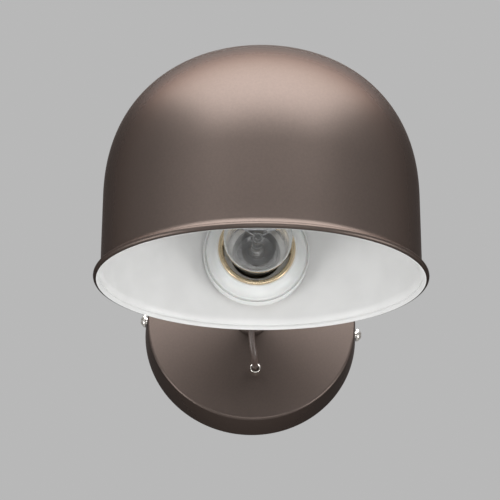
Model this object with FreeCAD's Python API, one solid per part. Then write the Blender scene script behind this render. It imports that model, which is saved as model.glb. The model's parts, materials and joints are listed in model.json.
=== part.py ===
import FreeCAD, Part
import math
import os
from FreeCAD import Placement, Rotation, Vector

# Wall reading lamp, in millimetres. X is to the right, Y runs into the wall and Z is up.
# The origin is the middle of the mounting plane on the wall. Depths "s" run away from the wall, along -Y.

# backplate cup
cup_rim_r = 62.0
cup_taper = 2.0
cup_depth = 22.0
cup_wall = 1.2
cup_edge_r = 3.0
cup_rim_edge_r = 0.4

# wall bracket inside the cup, and the two screws that hold the cup on it
bracket_turn = 3.3
strip_thick = 1.5
strip_width = 22.0
strip_bend_r = 2.5
tab_depth = 16.0
tab_gap = 0.8
side_screw_s = 11.0
side_screw_r = 2.0
side_head_r = 3.75
side_head_h = 3.0
side_screw_len = 7.0
cable_hole_r = 8.0
wall_hole_r = 2.5
wall_hole_pitch = 76.0
earth_x = 22.0
earth_screw_r = 1.75
earth_head_r = 3.5
earth_head_h = 2.2
earth_tag_thick = 1.0
earth_neck_half = 1.2
earth_neck_len = 1.0
earth_sleeve_r = 1.4
earth_sleeve_len = 6.0
earth_sleeve_floor = 1.5

# terminal block on the bracket
block_x = -23.0
block_length = 24.0
block_width = 13.0
block_height = 11.0
block_pitch = 7.0
block_bore_r = 1.6
block_bore_drop = 4.0
block_screw_r = 1.4
block_screw_len = 2.1
block_screw_sunk = 0.4
block_notch_half = 0.7
block_lip = 2.0

# arm
nipple_r = 5.0
nipple_bore_r = 3.2
nipple_inner = 9.0
nut_flat = 14.0
nut_thick = 3.0
washer_thick = 1.0
washer_r = 8.5
washer_split_half = 0.6
flange_r = 9.5
flange_thick = 3.0
flange_bevel = 1.5
flange_edge_r = 1.2
arm_r = 6.0
arm_lead = 5.0
arm_bend_r = 12.0
arm_bend = 39.0
arm_run = 4.4

# knuckle
fork_reach = 11.5
fork_r = 6.5
ear_thick = 3.0
washer_sheet = 0.4
washer_disc_r = 6.0
tongue_half = 3.5
tongue_r = 7.2
tongue_stem_half = 4.5
bolt_r = 2.0
bolt_head_r = 3.8
bolt_head_h = 2.4
cap_nut_r = 4.2
cap_nut_h = 5.0
cap_nut_side = 2.75
cap_nut_top_r = 2.1
cap_nut_end = 1.2
cap_nut_edge_r = 1.5
cap_nut_top_edge_r = 0.8
slot_gap = 0.9
fork_corner = 1.5
spigot_len = 3.0

# lamp head: the shade stands square to the lampholder's axis and droops a little at rest
droop = 6.5
shade_r = 78.0
shade_straight = 41.8
shade_dome = 75.0
dome_power = 2.29
dome_steps = 16
sheet = 1.0
flare_r = 5.0
flare_rise = 1.4
flare_angle = 55.0
bead_r = 1.5
holder_height = 39.6

# lampholder
collar_r = 7.0
cap_back = 11.5
cap_wall = 1.2
cap_corner_r = 4.0
collar_len = 3.0
stub_len = 6.5
gland_drop = 13.2
gland_r = 3.5
gland_groove = 0.7
gland_lip = 1.6
gland_edge_r = 0.6
skirt_r = 20.5
skirt_wall = 2.6
skirt_rim_r = 1.2
skirt_edge_r = 0.5
skirt_ridge = 0.6
skirt_ridge_pitch = 1.8
skirt_ridge_start = 2.0
skirt_ridge_end = 1.0
skirt_flange = 3.0
skirt_flange_thick = 2.5
skirt_tail = 5.5
ring_r = 29.1
ring_thick = 6.0
ring_groove_r = 27.3
ring_groove = 0.8
ring_groove_half = 0.6
ring_outer_drop = 1.0
ring_collar_wall = 0.9
ring_collar_foot = 2.6
ring_collar_bend = 4.0
ring_collar_gap = 1.6
ring_face_rise = 0.3
ring_edge_r = 0.8
ring_back_edge_r = 0.4
ring_groove_edge_r = 0.5
ring_groove_root_r = 0.2
ring_collar_top_r = 0.4
rim_stand = 7.0
core_gap = 7.5
core_len = 27.86
core_wall = 5.0
core_side = 1.8
core_edge_r = 0.5
core_back_edge_r = 0.8
core_step_gap = 0.5
core_recess = 11.0
core_screw_x = 8.5
core_screw_r = 1.5
core_head_r = 2.6
core_head_h = 1.8
core_screw_gap = 0.5
shell_thick = 0.4
thread_pitch = 3.6
thread_depth = 0.7
thread_turns = 4
thread_start = 1.0
contact_thick = 0.8
contact_half = 2.5
contact_foot_half = 7.0
contact_tongue = 8.0
contact_tongue_tilt = 16.0
contact_tip_r = 1.6

# bulb
bulb_contact_rise = 8.2
bulb_cap_r = 13.1
bulb_cap_len = 20.0
bulb_cap_edge = 1.0
bulb_cap_band = 2.0
bulb_skin = 0.35
bulb_insulator_len = 3.0
bulb_insulator_step = 0.5
bulb_insulator_edge_r = 0.4
bulb_contact_r = 4.5
bulb_contact_h = 1.0
bulb_contact_edge_r = 0.5
bulb_max_r = 18.0
bulb_neck_r = 12.4
bulb_belly = 20.0
bulb_length = 73.0
bulb_taper = 0.45
glass_wall = 0.8
glass_tail = 4.1
glass_tip_share = 1.5
glass_neck_steps = 3
glass_tip_steps = 8
stem_tail = 6.0
stem_lead = 1.0
stem_r = 3.2
stem_flare_len = 2.0
stem_neck = 7.0
stem_waist = 4.0
stem_waist_r = 2.4
stem_tip_r = 1.4
stem_tip_len = 2.5
stem_foot_edge_r = 0.4
stem_flare_bend = 1.5
stem_neck_bend = 4.0
stem_waist_bend = 3.0
stem_head_edge_r = 1.2
stem_tip_edge_r = 0.6
support_r = 0.3
support_sunk = 1.0
support_root = 1.2
support_knee = 2.6
support_knee_len = 6.0
support_reach = 14.0
support_x = 8.0
filament_r = 0.6

# supply cord and its eyelet in the cup's face
cord_r = 1.75
eyelet_x = 2.0
eyelet_z = -30.0
eyelet_r = 3.0
eyelet_stand = 2.8
eyelet_barrel_r = 2.6
eyelet_barrel = 3.0
eyelet_edge_r = 0.6
eyelet_flat = 8.0
eyelet_nut_thick = 2.0
cord_tail_s = 13.0
cord_tail = 1.5
cord_exit = 10.0
cord_low_s = 18.0
cord_low_rise = 10.0
cord_low_x = -0.6
cord_high_s = 22.3
cord_high_rise = 21.5
cord_high_x = -1.2
cord_lead_in = 8.0
lead_r = 0.8
lead_pair = 1.8
lead_near = 1.0
lead_step = 3.0
lead_side = 6.0
lead_rise = 5.0
lead_slack = 7.0
lead_grip = 2.0
lead_shift = 0.5
earth_grip = 3.0
earth_rise = 6.0
earth_run = 12.0
earth_high = 15.0
earth_back = 8.0
earth_lift = 2.0
earth_top = 17.0
earth_turn = 13.0
holder_lead_pair = 1.8
holder_lead_out = 1.9
holder_lead_in = 1.0
holder_lead_side = 1.6
holder_lead_rise = 5.0
holder_lead_near = 0.6
holder_lead_end = 3.5

# screws
slot_half = 0.4
head_brim_share = 0.35
head_top_share = 0.45
head_edge_r = 0.4
slot_floor_share = 0.55

# clearances
close_fit = 0.05
run_fit = 0.08
easy_fit = 0.15
hole_fit = 0.4


def corner_arc(before, corner, after, radius):
    # tangent arc of the given radius between the two straight runs that meet at a corner
    back = (before - corner).normalize()
    ahead = (after - corner).normalize()
    half = back.getAngle(ahead) / 2.0
    reach = radius / math.tan(half)
    middle = (back + ahead).normalize()
    top = corner + middle * (radius / math.sin(half) - radius)
    return corner + back * reach, top, corner + ahead * reach


def rounded_wire(points, radii, closed):
    edges = []
    count = len(points)
    last = None
    first = None
    for i in range(count):
        inner = closed or 0 < i < count - 1
        if inner and radii[i] > 0:
            start, top, end = corner_arc(points[i - 1], points[i], points[(i + 1) % count], radii[i])
        else:
            start, top, end = points[i], None, points[i]
        if last is not None and last.distanceToPoint(start) > 1e-6:
            edges.append(Part.LineSegment(last, start).toShape())
        if first is None:
            first = start
        if top is not None:
            edges.append(Part.Arc(start, top, end).toShape())
        last = end
    if closed and last.distanceToPoint(first) > 1e-6:
        edges.append(Part.LineSegment(last, first).toShape())
    return Part.Wire(edges)


def turned(profile, radii=None):
    # solid of revolution about the Y axis; the profile holds (s, r) pairs
    points = [Vector(r, -s, 0) for s, r in profile]
    wire = rounded_wire(points, radii or [0] * len(points), True)
    return solid_of(Part.Face(wire).revolve(Vector(0, 0, 0), Vector(0, 1, 0), 360))


def solid_of(shape):
    body = shape.Solids[0] if shape.Solids else Part.Solid(Part.Shell(shape.Faces))
    if body.Volume < 0:
        body.reverse()
    return body


def rod(start, end, radius):
    along = end - start
    return Part.makeCylinder(radius, along.Length, start, along)


def depth_rod(x, z, s_from, s_to, radius):
    return rod(Vector(x, -s_from, z), Vector(x, -s_to, z), radius)


def box(x_from, x_to, s_from, s_to, z_from, z_to):
    corner = Vector(x_from, -s_to, z_from)
    return Part.makeBox(x_to - x_from, s_to - s_from, z_to - z_from, corner)


def tube_along(points, radius, share=0.45):
    # round bar along straight runs joined by arcs as large as the runs allow
    radii = [0] * len(points)
    for i in range(1, len(points) - 1):
        back = points[i - 1] - points[i]
        ahead = points[i + 1] - points[i]
        turn = math.pi - back.getAngle(ahead)
        radii[i] = share * min(back.Length, ahead.Length) / math.tan(turn / 2.0)
    path = rounded_wire(points, radii, False)
    along = (points[1] - points[0]).normalize()
    ring = Part.Wire(Part.Circle(points[0], along, radius).toShape())
    tube = solid_of(path.makePipeShell([ring], True, False))
    share_of_volume = tube.Volume / (math.pi * radius ** 2 * path.Length)
    print("bend radii", [round(r, 1) for r in radii[1:-1]], "length", round(path.Length, 1),
          "volume over section x length", round(share_of_volume, 3))
    return tube


def hexagon(flat, s_from, s_to, bore_r):
    corner_r = flat / math.sqrt(3)
    points = []
    for i in range(7):
        angle = math.radians(60 * i)
        points.append(Vector(corner_r * math.cos(angle), -s_from, corner_r * math.sin(angle)))
    block = Part.Face(Part.makePolygon(points)).extrude(Vector(0, s_from - s_to, 0))
    return block.cut(depth_rod(0, 0, s_from - flat, s_to + flat, bore_r))


def round_screw(shank_r, length, head_r, head_h):
    # its head stands on the plane s = 0 and points away from the wall
    brim = head_h * head_brim_share
    head = turned([(0, 0), (0, head_r), (brim, head_r), (head_h, head_r * head_top_share), (head_h, 0)],
                  [0, 0, head_h - brim, head_edge_r, 0])
    slot = box(-slot_half, slot_half, head_h * slot_floor_share, 2 * head_h, -2 * head_r, 2 * head_r)
    return head.cut(slot).fuse(depth_rod(0, 0, -length, 0, shank_r)).removeSplitter()


def place(shape, x, s, z, turn=0):
    out = shape.copy()
    spin = Rotation(Vector(0, 0, 1), turn)
    out.Placement = Placement(Vector(x, -s, z), spin).multiply(out.Placement)
    return out


def bracket_turned(shape):
    out = shape.copy()
    out.rotate(Vector(0, 0, 0), Vector(0, 1, 0), bracket_turn)
    return out


def bracket_turned_point(x, s, z):
    return Rotation(Vector(0, 1, 0), bracket_turn).multVec(Vector(x, -s, z))


def cup_radius(s):
    return cup_rim_r - cup_taper * s / cup_depth


cup_face_r = cup_rim_r - cup_taper
tab_half = strip_width / 2.0
cup_inside_r = cup_radius(side_screw_s) - cup_wall
tab_x = math.sqrt(cup_inside_r ** 2 - tab_half ** 2) - tab_gap
face_inside = cup_depth - cup_wall
side_head_x = cup_radius(side_screw_s - side_head_r) + easy_fit


def backplate_cup():
    cup = turned([(0, cup_rim_r - cup_wall), (0, cup_rim_r), (cup_depth, cup_face_r), (cup_depth, 0),
                  (face_inside, 0), (face_inside, cup_face_r - cup_wall)],
                 [0, cup_rim_edge_r, cup_edge_r, 0, 0, cup_edge_r - cup_wall])
    cup = cup.cut(depth_rod(0, 0, 0, 2 * cup_depth, nipple_r + easy_fit))
    cup = cup.cut(depth_rod(eyelet_x, eyelet_z, 0, 2 * cup_depth, eyelet_barrel_r + close_fit))
    across = Vector(2 * cup_rim_r, -side_screw_s, 0)
    hole = rod(Vector(-across.x, across.y, 0), across, side_screw_r + hole_fit)
    return cup.cut(bracket_turned(hole))


def wall_bracket():
    inner = tab_x - strip_thick
    outline = [(-tab_x, tab_depth), (-tab_x, 0), (tab_x, 0), (tab_x, tab_depth),
               (inner, tab_depth), (inner, strip_thick), (-inner, strip_thick), (-inner, tab_depth)]
    points = [Vector(x, -s, -tab_half) for x, s in outline]
    bend_in = strip_bend_r - strip_thick
    wire = rounded_wire(points, [0, strip_bend_r, strip_bend_r, 0, 0, bend_in, bend_in, 0], True)
    strip = Part.Face(wire).extrude(Vector(0, 0, strip_width))
    cuts = [depth_rod(0, 0, -tab_depth, tab_depth, cable_hole_r),
            depth_rod(earth_x, 0, -tab_depth, tab_depth, earth_screw_r + close_fit)]
    for side in (-1, 1):
        cuts.append(depth_rod(side * wall_hole_pitch / 2.0, 0, -tab_depth, tab_depth, wall_hole_r))
    across = Vector(2 * tab_x, -side_screw_s, 0)
    cuts.append(rod(Vector(-across.x, across.y, 0), across, side_screw_r + close_fit))
    for cut in cuts:
        strip = strip.cut(cut)
    return bracket_turned(solid_of(strip))


def side_screws():
    screws = []
    for side in (-1, 1):
        screw = round_screw(side_screw_r, side_screw_len, side_head_r, side_head_h)
        screw = place(screw, side * side_head_x, side_screw_s, 0, turn=90 * side)
        screws.append(bracket_turned(screw))
    return Part.makeCompound(screws)


tag_front = strip_thick + earth_tag_thick
sleeve_s = strip_thick + earth_sleeve_r
sleeve_z = earth_head_r + earth_neck_len


def earth_screw():
    screw = round_screw(earth_screw_r, tag_front - easy_fit, earth_head_r, earth_head_h)
    return bracket_turned(place(screw, earth_x, tag_front, 0))


def earth_tag():
    # ring under the earth screw's head with a sleeve that grips the earth lead
    ring = depth_rod(earth_x, 0, strip_thick, tag_front, earth_head_r)
    floor = sleeve_z + earth_sleeve_floor
    neck = box(-earth_neck_half, earth_neck_half, strip_thick, tag_front, 0, floor)
    ring = ring.fuse(place(neck, earth_x, 0, 0))
    top = sleeve_z + earth_sleeve_len
    sleeve = rod(Vector(earth_x, -sleeve_s, sleeve_z), Vector(earth_x, -sleeve_s, top), earth_sleeve_r)
    tag = ring.fuse(sleeve).cut(depth_rod(earth_x, 0, 0, 2 * tag_front, earth_screw_r + close_fit))
    bore = rod(Vector(earth_x, -sleeve_s, floor), Vector(earth_x, -sleeve_s, 2 * top), lead_r + close_fit)
    return bracket_turned(solid_of(tag.cut(bore).removeSplitter()))


block_bore_s = strip_thick + block_height - block_bore_drop


def terminal_xs():
    return [block_x + block_pitch * (i - 1) for i in range(3)]


def terminal_block():
    half = block_length / 2.0
    top = strip_thick + block_height
    body = box(block_x - half, block_x + half, strip_thick, top, -block_width / 2.0, block_width / 2.0)
    for x in terminal_xs():
        low = Vector(x, -block_bore_s, -block_width)
        body = body.cut(rod(low, Vector(x, -block_bore_s, block_width), block_bore_r))
        body = body.cut(depth_rod(x, 0, block_bore_s, 2 * top, block_screw_r + easy_fit))
    for x in terminal_xs()[:2]:
        notch = x + block_pitch / 2.0
        body = body.cut(box(notch - block_notch_half, notch + block_notch_half, top - block_lip, 2 * top,
                            -block_width, block_width))
    return bracket_turned(body)


def terminal_screws():
    front = strip_thick + block_height - block_screw_sunk
    return Part.makeCompound([bracket_turned(depth_rod(x, 0, front - block_screw_len, front, block_screw_r))
                              for x in terminal_xs()])


def arm_nipple():
    # threaded tube from inside the cup to the end of the arm's straight lead
    front = cup_depth + flange_thick + arm_lead
    hollow = depth_rod(0, 0, 0, 2 * front, nipple_bore_r)
    return depth_rod(0, 0, cup_depth - nipple_inner, front, nipple_r).cut(hollow)


def arm_lock_washer():
    ring = turned([(face_inside - washer_thick, nipple_r + close_fit), (face_inside - washer_thick, washer_r),
                   (face_inside, washer_r), (face_inside, nipple_r + close_fit)])
    return ring.cut(box(0, 2 * washer_r, 0, cup_depth, -washer_split_half, washer_split_half))


def arm_nut():
    front = face_inside - washer_thick
    return hexagon(nut_flat, front - nut_thick, front, nipple_r + close_fit)


def arm_flange():
    front = cup_depth + flange_thick
    return turned([(cup_depth, nipple_r + close_fit), (cup_depth, flange_r), (front, flange_r - flange_bevel),
                   (front, nipple_r + close_fit)], [0, 0, flange_edge_r, 0])


def arm_direction():
    return Vector(0, -math.cos(math.radians(arm_bend)), math.sin(math.radians(arm_bend)))


def arm_points():
    start = Vector(0, -(cup_depth + flange_thick), 0)
    reach = arm_bend_r * math.tan(math.radians(arm_bend) / 2.0)
    corner = start - Vector(0, arm_lead + reach, 0)
    return [start, corner, corner + arm_direction() * (reach + arm_run)]


def arm_tube():
    solids = []
    for radius in (arm_r, nipple_r + close_fit):
        path = rounded_wire(arm_points(), [0, arm_bend_r, 0], False)
        ring = Part.Wire(Part.Circle(arm_points()[0], Vector(0, -1, 0), radius).toShape())
        solids.append(solid_of(path.makePipeShell([ring], True, False)))
    return solid_of(solids[0].cut(solids[1]))


pivot = arm_points()[2] + arm_direction() * fork_reach


def at_pivot(shape, angle):
    # local pieces have the pivot at the origin and -Y forward; a positive angle lowers the front
    out = shape.copy()
    out.Placement = Placement(pivot, Rotation(Vector(1, 0, 0), angle)).multiply(out.Placement)
    return out


def in_head(shape):
    return at_pivot(shape, droop)


def head_point(x, s, z):
    return pivot + Rotation(Vector(1, 0, 0), droop).multVec(Vector(x, -s, z))


ear_in = tongue_half + washer_sheet + 2 * close_fit
ear_out = ear_in + ear_thick


def cross_rod(x_from, x_to, radius):
    return rod(Vector(x_from, 0, 0), Vector(x_to, 0, 0), radius)


def knuckle_fork():
    body = cross_rod(-ear_out, ear_out, fork_r)
    body = body.fuse(box(-ear_out, ear_out, -fork_reach, 0, -fork_r, fork_r))
    slot_back = tongue_r + slot_gap
    slot = box(-ear_in, ear_in, -slot_back, 2 * fork_r, -2 * fork_r, 2 * fork_r)
    body = body.cut(slot).cut(cross_rod(-2 * ear_out, 2 * ear_out, bolt_r + run_fit))
    body = body.common(depth_rod(0, 0, -2 * fork_reach, 2 * fork_r, ear_out + fork_corner))
    root = -(slot_back + fork_reach) / 2.0
    spigot = depth_rod(0, 0, -fork_reach - spigot_len, root, nipple_r - close_fit)
    return at_pivot(solid_of(body.fuse(spigot).removeSplitter()), -arm_bend)


def friction_washers():
    discs = []
    for side in (-1, 1):
        near = side * (tongue_half + close_fit)
        disc = cross_rod(near, near + side * washer_sheet, washer_disc_r)
        discs.append(at_pivot(disc.cut(cross_rod(-ear_out, ear_out, bolt_r + run_fit)), -arm_bend))
    return Part.makeCompound(discs)


def knuckle_bolt():
    length = 2 * ear_out + cap_nut_h - cap_nut_end - 2 * easy_fit
    bolt = round_screw(bolt_r, length, bolt_head_r, bolt_head_h)
    bolt = place(bolt, -ear_out - close_fit, 0, 0, turn=-90)
    return at_pivot(bolt, -arm_bend)


def knuckle_nut():
    nut = turned([(0, 0), (0, cap_nut_r), (cap_nut_side, cap_nut_r), (cap_nut_h, cap_nut_top_r),
                  (cap_nut_h, 0)], [0, 0, cap_nut_edge_r, cap_nut_top_edge_r, 0])
    nut = nut.cut(depth_rod(0, 0, -cap_nut_h, cap_nut_h - cap_nut_end, bolt_r + close_fit))
    return at_pivot(place(nut, ear_out + close_fit, 0, 0, turn=90), -arm_bend)


def knuckle_tongue():
    body = cross_rod(-tongue_half, tongue_half, tongue_r)
    collar_mid = cap_back - collar_len / 2.0
    body = body.fuse(box(-tongue_half, tongue_half, 0, collar_mid, -tongue_stem_half, tongue_stem_half))
    body = body.fuse(depth_rod(0, 0, cap_back - collar_len, cap_back, collar_r))
    body = body.fuse(depth_rod(0, 0, collar_mid, cap_back + stub_len, nipple_r))
    body = body.cut(cross_rod(-ear_out, ear_out, bolt_r + run_fit))
    return in_head(solid_of(body.removeSplitter()))


# the lampholder stacks up from the cap's back, and the shade's wall seats between its flange and its ring
core_back = cap_back + core_gap
core_front = core_back + core_len
rim_s = core_front + core_recess
ring_front = rim_s - rim_stand
ring_back = ring_front - ring_thick
wall_in_r = shade_r - sheet
wall_bow = wall_in_r - math.sqrt(wall_in_r ** 2 - ring_r ** 2)
seat_s = ring_back - easy_fit - wall_bow - sheet
head_reach = seat_s + shade_r
cap_front = seat_s - skirt_flange_thick
cap_inside = cap_back + cap_wall


def lampholder_cap():
    outer = skirt_r + easy_fit + cap_wall
    body = turned([(cap_back, nipple_r + close_fit), (cap_back, outer), (cap_front, outer),
                   (cap_front, outer - cap_wall), (cap_inside, outer - cap_wall),
                   (cap_inside, nipple_r + close_fit)],
                  [0, cap_corner_r, 0, 0, cap_corner_r - cap_wall, 0])
    body = body.cut(depth_rod(0, -gland_drop, 0, cap_front, gland_r - gland_groove + close_fit))
    return in_head(body)


def holder_nut():
    return in_head(hexagon(nut_flat, cap_inside, cap_inside + nut_thick, nipple_r + close_fit))


def cord_gland():
    bore = cord_r + close_fit
    waist = gland_r - gland_groove
    body = turned([(cap_back - gland_lip, bore), (cap_back - gland_lip, gland_r), (cap_back, gland_r),
                   (cap_back, waist), (cap_inside, waist), (cap_inside, gland_r),
                   (cap_inside + gland_lip, gland_r), (cap_inside + gland_lip, bore)],
                  [0, gland_edge_r, 0, 0, 0, 0, gland_edge_r, 0])
    return in_head(place(body, 0, 0, -gland_drop))


def ridge_points(s_from, s_to, crest, trough, pitch):
    # zigzag of whole ridges between two depths
    count = max(2, int(abs(s_to - s_from) / pitch))
    step = (s_to - s_from) / count
    points = []
    for i in range(count):
        points.append((s_from + step * (i + 0.25), crest))
        points.append((s_from + step * (i + 0.75), trough))
    return points


def lampholder_skirt():
    inner = skirt_r - skirt_wall
    flange = skirt_r + skirt_flange
    front = seat_s - close_fit
    profile = [(cap_front - skirt_tail, inner), (cap_front - skirt_tail, skirt_r), (cap_front, skirt_r),
               (cap_front, flange), (front, flange), (front, skirt_r), (rim_s, skirt_r), (rim_s, inner)]
    ridges = ridge_points(rim_s - skirt_ridge_start, core_front + skirt_ridge_end, inner, inner + skirt_ridge,
                          skirt_ridge_pitch)
    radii = [0, 0, 0, skirt_edge_r, skirt_edge_r, 0, skirt_rim_r, skirt_rim_r] + [0] * len(ridges)
    return in_head(turned(profile + ridges, radii))


def insulating_core():
    bore = bulb_cap_r + 2 * close_fit + shell_thick + easy_fit
    step = cap_front - skirt_tail - core_step_gap
    outer = skirt_r - skirt_wall - easy_fit
    floor = core_back + core_wall
    body = turned([(core_back, 0), (core_back, bore + core_side), (step, bore + core_side), (step, outer),
                   (core_front, outer), (core_front, bore), (floor, bore), (floor, 0)],
                  [0, core_back_edge_r, 0, core_edge_r, core_edge_r, core_edge_r, 0, 0])
    for side in (-1, 1):
        body = body.cut(depth_rod(side * core_screw_x, 0, 0, core_front, core_screw_r + close_fit))
    return in_head(body)


def core_screws():
    screws = []
    for side in (-1, 1):
        screw = round_screw(core_screw_r, core_wall - core_screw_gap, core_head_r, core_head_h)
        screws.append(in_head(place(screw, side * core_screw_x, core_back, 0, turn=180)))
    return Part.makeCompound(screws)


bulb_contact_s = core_back + bulb_contact_rise
thread_s = bulb_contact_s + bulb_contact_h + bulb_insulator_len
thread_end = thread_s + bulb_cap_len


def thread_ridges(crest):
    start = thread_s + thread_start
    return ridge_points(start, start + thread_turns * thread_pitch, crest, crest - thread_depth, thread_pitch)


def screw_shell():
    crest = bulb_cap_r + 2 * close_fit
    inner = [(core_back + core_wall, crest)] + thread_ridges(crest) + [(core_front, crest)]
    outer = [(s, r + shell_thick) for s, r in reversed(inner)]
    return in_head(turned(inner + outer))


def centre_contact():
    # flat foot on the core's floor, a tongue bent up from it and a round tip that meets the bulb
    base = core_back + core_wall
    top = base + contact_thick
    strip = box(-contact_half, contact_half, base, top, -contact_foot_half, contact_foot_half)
    tongue = box(-contact_half, contact_half, -contact_thick, 0, 0, contact_tongue)
    tongue.rotate(Vector(0, 0, 0), Vector(1, 0, 0), contact_tongue_tilt)
    tongue.translate(Vector(0, -top, contact_thick - contact_foot_half))
    tip = depth_rod(0, 0, base + contact_thick / 2.0, bulb_contact_s - close_fit, contact_tip_r)
    return in_head(solid_of(strip.fuse(tongue).fuse(tip).removeSplitter()))


def shade_ring():
    # flat rim with a fine groove, and a collar that rises round the lampholder's threaded barrel
    bore = skirt_r + close_fit
    front = ring_front
    shoulder = front - ring_groove_half
    profile = [(ring_back, bore), (ring_back, ring_r), (front - ring_outer_drop, ring_r),
               (shoulder, ring_groove_r + ring_groove_half), (shoulder - ring_groove, ring_groove_r),
               (front, ring_groove_r - ring_groove), (front + ring_face_rise, bore + ring_collar_foot),
               (rim_s - ring_collar_gap, bore + ring_collar_wall), (rim_s - ring_collar_gap, bore)]
    radii = [0, ring_back_edge_r, ring_edge_r, ring_groove_edge_r, ring_groove_root_r, ring_groove_edge_r,
             ring_collar_bend, ring_collar_top_r, 0]
    return in_head(turned(profile, radii))


def dome_edge(radius, height, base):
    # superellipse from the top of the straight wall to the crown
    points = []
    for i in range(dome_steps + 1):
        angle = math.pi / 2 * i / dome_steps
        scale = (math.cos(angle) / radius) ** dome_power + (math.sin(angle) / height) ** dome_power
        far = scale ** (-1 / dome_power)
        points.append(Vector(far * math.cos(angle), 0, base + far * math.sin(angle)))
    points[-1].x = 0
    curve = Part.BSplineCurve()
    curve.interpolate(Points=points, InitialTangent=Vector(0, 0, 1), FinalTangent=Vector(-1, 0, 0))
    return curve.toShape()


def shade():
    # profile in the XZ plane: straight wall, domed top and a lip that flares out to a rolled bead
    centre_x = shade_r + flare_r
    flare_top = flare_r + flare_rise
    turn = math.radians(flare_angle)
    edges = []
    ends = []
    for offset in (0, sheet):
        radius = shade_r - offset
        arc = flare_r + offset
        top = Vector(radius, 0, shade_straight)
        start = Vector(radius, 0, flare_top)
        middle = Vector(centre_x - arc * math.cos(turn / 2), 0, flare_top - arc * math.sin(turn / 2))
        end = Vector(centre_x - arc * math.cos(turn), 0, flare_top - arc * math.sin(turn))
        edges.append(dome_edge(radius, shade_dome - offset, shade_straight))
        edges.append(Part.LineSegment(top, start).toShape())
        edges.append(Part.Arc(start, middle, end).toShape())
        ends.append(end)
    crown = shade_straight + shade_dome
    edges.append(Part.LineSegment(ends[0], ends[1]).toShape())
    edges.append(Part.LineSegment(Vector(0, 0, crown - sheet), Vector(0, 0, crown)).toShape())
    wire = Part.Wire(Part.__sortEdges__(edges))
    shell = solid_of(Part.Face(wire).revolve(Vector(0, 0, 0), Vector(0, 0, 1), 360))
    bead_at = (ends[0] + ends[1]) * 0.5
    bead = Part.makeTorus(bead_at.x, bead_r, Vector(0, 0, bead_at.z), Vector(0, 0, 1))
    body = shell.fuse(bead).removeSplitter()
    body.translate(Vector(0, -head_reach, -holder_height))
    hole = depth_rod(0, 0, 0, head_reach, skirt_r + hole_fit)
    return in_head(solid_of(body.cut(hole)))


glass_s = thread_end + 2 * close_fit
glass_tail_r = bulb_cap_r - thread_depth - bulb_skin - 2 * easy_fit


def glass_edge(shrink):
    # candle outline: a neck that swells to the belly, then r = R cos(a) (1 - taper sin(a)^2) to the tip
    length = bulb_length - bulb_belly - glass_tip_share * shrink
    radius = bulb_max_r - shrink
    points = []
    for i in range(glass_neck_steps):
        share = i / glass_neck_steps
        r = bulb_neck_r - shrink + (bulb_max_r - bulb_neck_r) * math.sin(math.pi / 2 * share)
        points.append(Vector(r, -(glass_s + bulb_belly * share), 0))
    for i in range(glass_tip_steps + 1):
        angle = math.pi / 2 * i / glass_tip_steps
        r = radius * math.cos(angle) * (1 - bulb_taper * math.sin(angle) ** 2)
        points.append(Vector(r, -(glass_s + bulb_belly + length * math.sin(angle)), 0))
    points[-1].x = 0
    curve = Part.BSplineCurve()
    curve.interpolate(Points=points)
    return curve.toShape(), points[0], points[-1]


def bulb_glass():
    outer, outer_start, outer_tip = glass_edge(0)
    inner, inner_start, inner_tip = glass_edge(glass_wall)
    tail_in = glass_tail_r - glass_wall
    back = Vector(glass_tail_r, glass_tail - glass_s, 0)
    back_in = Vector(tail_in, glass_tail - glass_s, 0)
    step = Vector(glass_tail_r, -glass_s, 0)
    step_in = Vector(tail_in, -glass_s, 0)
    edges = [outer, inner, Part.LineSegment(outer_tip, inner_tip).toShape()]
    for start, end in ((outer_start, step), (step, back), (back, back_in), (back_in, step_in),
                       (step_in, inner_start)):
        if start.distanceToPoint(end) > 1e-6:
            edges.append(Part.LineSegment(start, end).toShape())
    wire = Part.Wire(Part.__sortEdges__(edges))
    return in_head(solid_of(Part.Face(wire).revolve(Vector(0, 0, 0), Vector(0, 1, 0), 360)))


def bulb_cap():
    outer = [(thread_s, bulb_cap_r - bulb_cap_edge)] + thread_ridges(bulb_cap_r)
    outer += [(thread_end - bulb_cap_band, bulb_cap_r), (thread_end, bulb_cap_r)]
    inner = [(s, r - bulb_skin) for s, r in reversed(outer)]
    return in_head(turned(outer + inner))


def bulb_insulator():
    back = bulb_contact_s + bulb_contact_h
    front = thread_s - close_fit
    return in_head(turned([(back, 0), (back, bulb_contact_r + bulb_insulator_step),
                           (front, bulb_cap_r - bulb_cap_edge), (front, 0)],
                          [0, bulb_insulator_edge_r, bulb_insulator_edge_r, 0]))


def bulb_contact():
    front = bulb_contact_s + bulb_contact_h - close_fit
    return in_head(turned([(bulb_contact_s, 0), (bulb_contact_s, bulb_contact_r), (front, bulb_contact_r),
                           (front, 0)], [0, bulb_contact_edge_r, 0, 0]))


stem_back = thread_end - stem_tail
stem_front = glass_s + bulb_belly + stem_lead
stem_tip = stem_front + stem_tip_len
stem_flare_r = glass_tail_r - glass_wall - easy_fit


def bulb_stem():
    flare_end = stem_back + stem_flare_len
    return in_head(turned([(stem_back, 0), (stem_back, stem_flare_r), (flare_end, stem_flare_r),
                           (stem_back + stem_neck, stem_r), (stem_front - stem_waist, stem_waist_r),
                           (stem_front, stem_r), (stem_tip, stem_tip_r), (stem_tip, 0)],
                          [0, stem_foot_edge_r, stem_flare_bend, stem_neck_bend, stem_waist_bend,
                           stem_head_edge_r, stem_tip_edge_r, 0]))


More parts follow.
